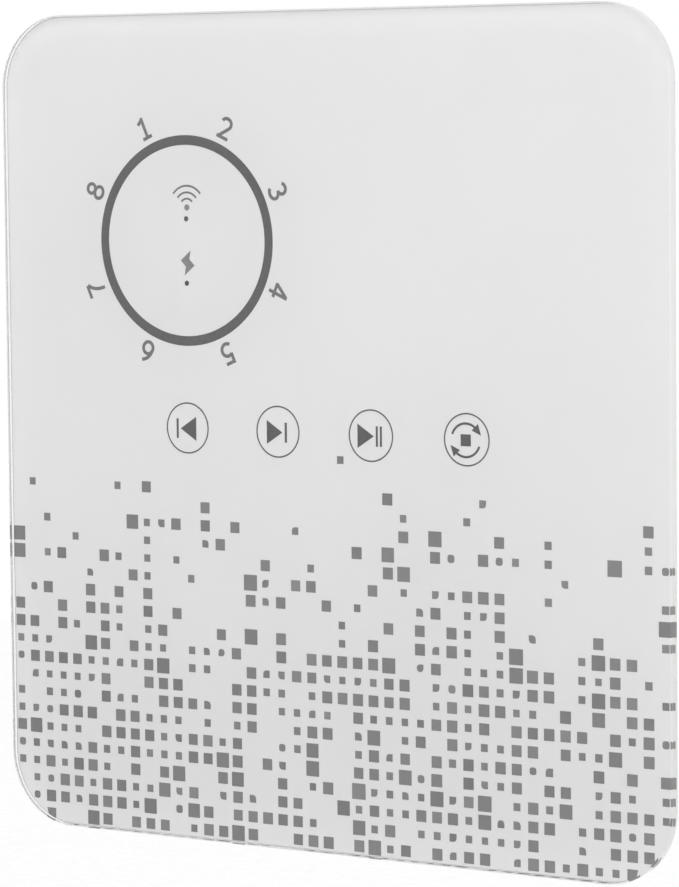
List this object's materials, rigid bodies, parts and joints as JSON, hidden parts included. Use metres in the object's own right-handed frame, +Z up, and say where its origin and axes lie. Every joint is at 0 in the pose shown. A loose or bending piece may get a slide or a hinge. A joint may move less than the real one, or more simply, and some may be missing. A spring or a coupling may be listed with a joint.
{
  "type": "shower speaker",
  "caption": "Flat wall-hung shower speaker: a printed glass touch panel on a shallow sealed case with side-firing drivers, hung on a steel wall bracket.",
  "frame": {"origin": "centre of the wall bracket's back face, on the wall", "axes": "+Z up, +X to the right as seen from the front, +Y into the wall; the glass faces -Y"},
  "size_m": [0.2, 0.045, 0.213],
  "materials": {
    "bracket_steel": "zinc plated, satin",
    "screw_steel": "zinc plated",
    "foot_rubber": "moulded, matt",
    "housing_abs": "moulded ABS, fine spark texture",
    "frame_abs": "moulded ABS, satin",
    "seal_silicone": "moulded silicone",
    "front_glass": "tempered, polished edge",
    "print_film": "white screen-printed film",
    "foam_tape": "closed-cell foam adhesive",
    "circuit_board": "glass-epoxy with solder mask",
    "flex_lead": "polyimide flexible circuit",
    "diffuser": "milky acrylic",
    "black_abs": "moulded black ABS",
    "lamp": "lamp resin",
    "tin_plate": "tin-plated steel",
    "aluminium_can": "drawn can",
    "battery_sleeve": "heat-shrink sleeve",
    "lead_sleeve": "PVC insulation",
    "grille_abs": "moulded ABS",
    "mesh_cloth": "water-repelling woven mesh",
    "basket_abs": "glass-filled plastic",
    "surround_rubber": "butyl rubber",
    "cone_aluminium": "brushed foil",
    "coil_copper": "enamelled copper wire",
    "spider_cloth": "resin-treated cloth",
    "motor_steel": "zinc-plated steel",
    "magnet_nickel": "nickel-plated magnet",
    "button_abs": "moulded ABS",
    "flap_tpu": "moulded elastomer"
  },
  "bodies": {
    "bracket": {"wall_bracket": "bracket_steel"},
    "speaker": {"hanger_plate": "bracket_steel", "hanger_screws": "screw_steel", "wall_bumpers": "foot_rubber", "rear_housing": "housing_abs", "front_frame": "frame_abs", "case_seal": "seal_silicone", "case_screws": "screw_steel", "front_glass": "front_glass", "print_film": "print_film", "glass_tape": "foam_tape", "touch_board": "circuit_board", "touch_flex": "flex_lead", "diffuser_disc": "diffuser", "light_baffle": "black_abs", "led_board": "circuit_board", "leds": "lamp", "main_board": "circuit_board", "board_screws": "screw_steel", "shield_can": "tin_plate", "capacitors": "aluminium_can", "charging_socket": "tin_plate", "battery_pack": "battery_sleeve", "battery_clamp": "black_abs", "battery_screws": "screw_steel", "battery_lead": "lead_sleeve", "driver_leads": "lead_sleeve", "driver_screws": "screw_steel", "radiator_frame": "basket_abs", "radiator_surround": "surround_rubber", "power_switch": "tin_plate", "port_bezel": "housing_abs", "flap_hinge_pin": "screw_steel", "grille_left": "grille_abs", "grille_mesh_left": "mesh_cloth", "basket_left": "basket_abs", "surround_left": "surround_rubber", "spider_left": "spider_cloth", "motor_yoke_left": "motor_steel", "motor_magnet_left": "magnet_nickel", "motor_top_plate_left": "motor_steel", "grille_right": "grille_abs", "grille_mesh_right": "mesh_cloth", "basket_right": "basket_abs", "surround_right": "surround_rubber", "spider_right": "spider_cloth", "motor_yoke_right": "motor_steel", "motor_magnet_right": "magnet_nickel", "motor_top_plate_right": "motor_steel"},
    "diaphragm_left": {"cone_left": "cone_aluminium", "dust_cap_left": "cone_aluminium", "voice_coil_left": "coil_copper"},
    "diaphragm_right": {"cone_right": "cone_aluminium", "dust_cap_right": "cone_aluminium", "voice_coil_right": "coil_copper"},
    "radiator": {"radiator_plate": "cone_aluminium", "radiator_mass": "motor_steel"},
    "button": {"power_button": "button_abs", "switch_plunger": "black_abs"},
    "flap": {"port_flap": "flap_tpu"}
  },
  "joints": [
    {"name": "lift_off", "type": "slide", "parent": "bracket", "child": "speaker", "axis": [0, 0, 1], "range_m": [0, 0.012]},
    {"name": "cone_left_travel", "type": "slide", "parent": "speaker", "child": "diaphragm_left", "axis": [-1, 0, 0], "range_m": [-0.002, 0.002], "stiffness_N_per_m": 2000, "deforming": ["surround_left", "spider_left"]},
    {"name": "cone_right_travel", "type": "slide", "parent": "speaker", "child": "diaphragm_right", "axis": [1, 0, 0], "range_m": [-0.002, 0.002], "stiffness_N_per_m": 2000, "deforming": ["surround_right", "spider_right"]},
    {"name": "radiator_travel", "type": "slide", "parent": "speaker", "child": "radiator", "axis": [0, 1, 0], "range_m": [-0.003, 0.003], "stiffness_N_per_m": 1500, "deforming": ["radiator_surround"]},
    {"name": "power_button_press", "type": "slide", "parent": "speaker", "child": "button", "axis": [0, 0, 1], "range_m": [0, 0.0006], "stiffness_N_per_m": 2500, "springref_m": -0.0002},
    {"name": "port_flap_hinge", "type": "hinge", "parent": "speaker", "child": "flap", "pos_m": [0.025, -0.0226, -0.1029], "axis": [1, 0, 0], "range_deg": [0, 100]}
  ]
}
